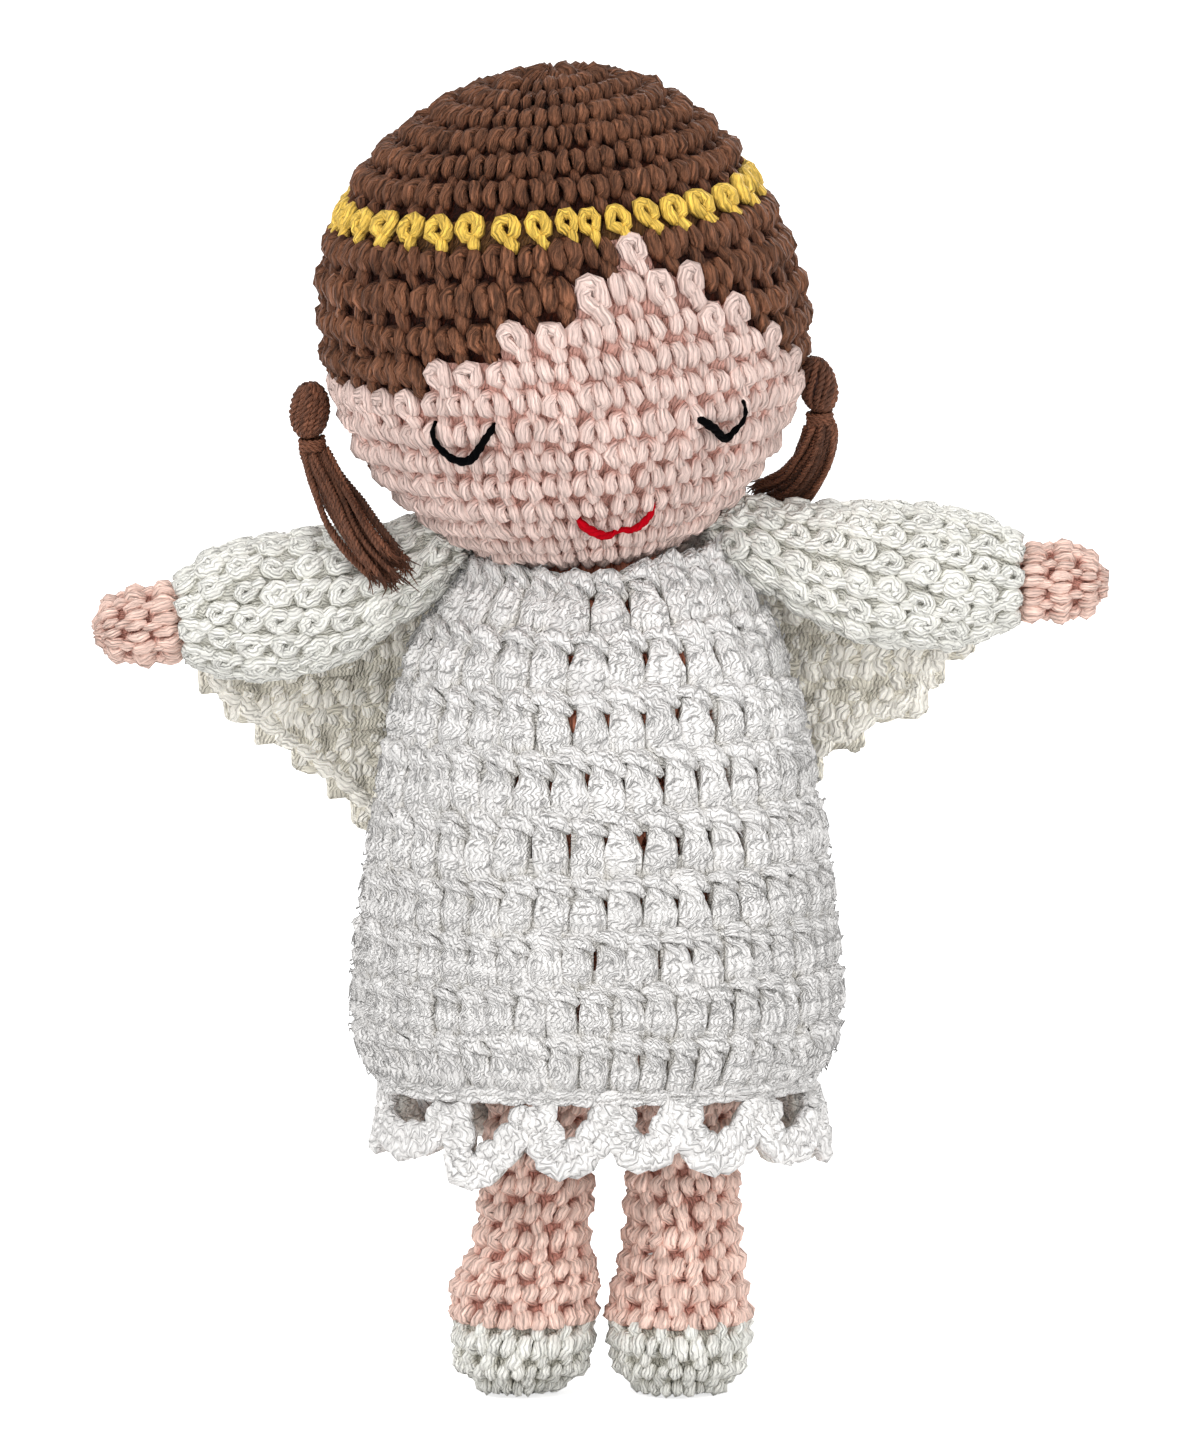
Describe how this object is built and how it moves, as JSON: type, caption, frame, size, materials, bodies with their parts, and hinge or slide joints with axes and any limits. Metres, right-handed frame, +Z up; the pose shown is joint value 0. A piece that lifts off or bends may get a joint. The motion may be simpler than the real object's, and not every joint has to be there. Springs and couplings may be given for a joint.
{
  "type": "crochet rattle doll",
  "caption": "Stuffed crochet angel doll with a rattle capsule in its belly, a white puff-stitch dress, crocheted wings, pigtails and an embroidered sleeping face.",
  "frame": {"origin": "floor under the middle of the doll, which stands on its soles", "axes": "+Z up through the head, the face looks along -Y, +X to the right of a viewer in front of the doll"},
  "size_m": [0.1214, 0.0592, 0.1598],
  "materials": {
    "hair_yarn": "brown cotton yarn in single crochet, matt with a soft fibre sheen",
    "halo_yarn": "yellow cotton yarn in single crochet",
    "face_yarn": "pale rose cotton yarn in single crochet",
    "limb_yarn": "peach cotton yarn in single crochet",
    "dress_yarn": "bright white silky yarn in puff stitches",
    "sleeve_yarn": "warm white cotton yarn in single crochet",
    "wing_yarn": "ivory cotton yarn in single crochet",
    "eye_thread": "black embroidery thread",
    "mouth_thread": "red embroidery thread",
    "filling": "white polyester fibre filling",
    "capsule_plastic": "milky polypropylene",
    "bead_plastic": "plain moulded beads"
  },
  "bodies": {
    "torso": {"body_shell": "limb_yarn", "body_stuffing_upper": "filling", "body_stuffing_lower": "filling", "rattle_capsule_lower": "capsule_plastic", "rattle_capsule_upper": "capsule_plastic", "dress": "dress_yarn", "dress_lace": "dress_yarn"},
    "head": {"hair_crown": "hair_yarn", "halo_band": "halo_yarn", "hair_fringe": "hair_yarn", "face": "face_yarn", "head_stuffing": "filling", "left_eye": "eye_thread", "right_eye": "eye_thread", "mouth": "mouth_thread", "left_pigtail_knot": "hair_yarn", "left_pigtail_tie": "hair_yarn", "right_pigtail_knot": "hair_yarn", "right_pigtail_tie": "hair_yarn"},
    "left_hank": {"left_pigtail_hank": "hair_yarn"},
    "right_hank": {"right_pigtail_hank": "hair_yarn"},
    "left_arm": {"left_sleeve": "sleeve_yarn", "left_hand": "limb_yarn", "left_arm_stuffing": "filling"},
    "right_arm": {"right_sleeve": "sleeve_yarn", "right_hand": "limb_yarn", "right_arm_stuffing": "filling"},
    "left_leg": {"left_leg": "limb_yarn", "left_shoe": "sleeve_yarn", "left_leg_stuffing": "filling"},
    "right_leg": {"right_leg": "limb_yarn", "right_shoe": "sleeve_yarn", "right_leg_stuffing": "filling"},
    "left_wing": {"left_wing": "wing_yarn"},
    "right_wing": {"right_wing": "wing_yarn"},
    "bead_1": {"rattle_bead_1": "bead_plastic"},
    "bead_2": {"rattle_bead_2": "bead_plastic"},
    "bead_3": {"rattle_bead_3": "bead_plastic"},
    "bead_4": {"rattle_bead_4": "bead_plastic"},
    "bead_5": {"rattle_bead_5": "bead_plastic"}
  },
  "joints": [
    {"name": "head_nod", "type": "hinge", "parent": "torso", "child": "head", "pos_m": [-0.00187, 0.00213, 0.0991], "axis": [1, 0, 0], "range_deg": [-8, 8], "stiffness_Nm_per_rad": 0.25},
    {"name": "left_arm_swing", "type": "hinge", "parent": "torso", "child": "left_arm", "pos_m": [-0.02346, 0.00213, 0.0964], "axis": [0, 1, 0], "range_deg": [-12, 14], "stiffness_Nm_per_rad": 0.03},
    {"name": "right_arm_swing", "type": "hinge", "parent": "torso", "child": "right_arm", "pos_m": [0.02136, 0.00213, 0.0986], "axis": [0, -1, 0], "range_deg": [-15, 20], "stiffness_Nm_per_rad": 0.03},
    {"name": "left_leg_swing", "type": "hinge", "parent": "torso", "child": "left_leg", "pos_m": [-0.00728, 0.00213, 0.043], "axis": [1, 0, 0], "range_deg": [-20, 20], "stiffness_Nm_per_rad": 0.15},
    {"name": "right_leg_swing", "type": "hinge", "parent": "torso", "child": "right_leg", "pos_m": [0.00912, 0.00213, 0.043], "axis": [1, 0, 0], "range_deg": [-20, 20], "stiffness_Nm_per_rad": 0.15},
    {"name": "left_wing_fold", "type": "hinge", "parent": "torso", "child": "left_wing", "pos_m": [-0.00041, 0.0255, 0.06199], "axis": [0.0619, 0.1571, -0.9856], "range_deg": [0, 25], "stiffness_Nm_per_rad": 0.01},
    {"name": "right_wing_fold", "type": "hinge", "parent": "torso", "child": "right_wing", "pos_m": [0.00357, 0.0255, 0.06236], "axis": [-0.1171, -0.1571, 0.9806], "range_deg": [0, 25], "stiffness_Nm_per_rad": 0.01},
    {"name": "left_hank_swing", "type": "hinge", "parent": "head", "child": "left_hank", "pos_m": [-0.03453, -0.0002, 0.11411], "axis": [0, 1, 0], "range_deg": [-4, 8], "stiffness_Nm_per_rad": 0.0005},
    {"name": "right_hank_swing", "type": "hinge", "parent": "head", "child": "right_hank", "pos_m": [0.0275, 0.00266, 0.11694], "axis": [0, -1, 0], "range_deg": [-4, 12], "stiffness_Nm_per_rad": 0.0005},
    {"name": "bead_1_hop", "type": "slide", "parent": "torso", "child": "bead_1", "axis": [0, 0, 1], "range_m": [0, 0.006]},
    {"name": "bead_2_hop", "type": "slide", "parent": "torso", "child": "bead_2", "axis": [0, 0, 1], "range_m": [0, 0.006]},
    {"name": "bead_3_hop", "type": "slide", "parent": "torso", "child": "bead_3", "axis": [0, 0, 1], "range_m": [0, 0.006]},
    {"name": "bead_4_hop", "type": "slide", "parent": "torso", "child": "bead_4", "axis": [0, 0, 1], "range_m": [0, 0.006]},
    {"name": "bead_5_hop", "type": "slide", "parent": "torso", "child": "bead_5", "axis": [0, 0, 1], "range_m": [0, 0.006]}
  ]
}
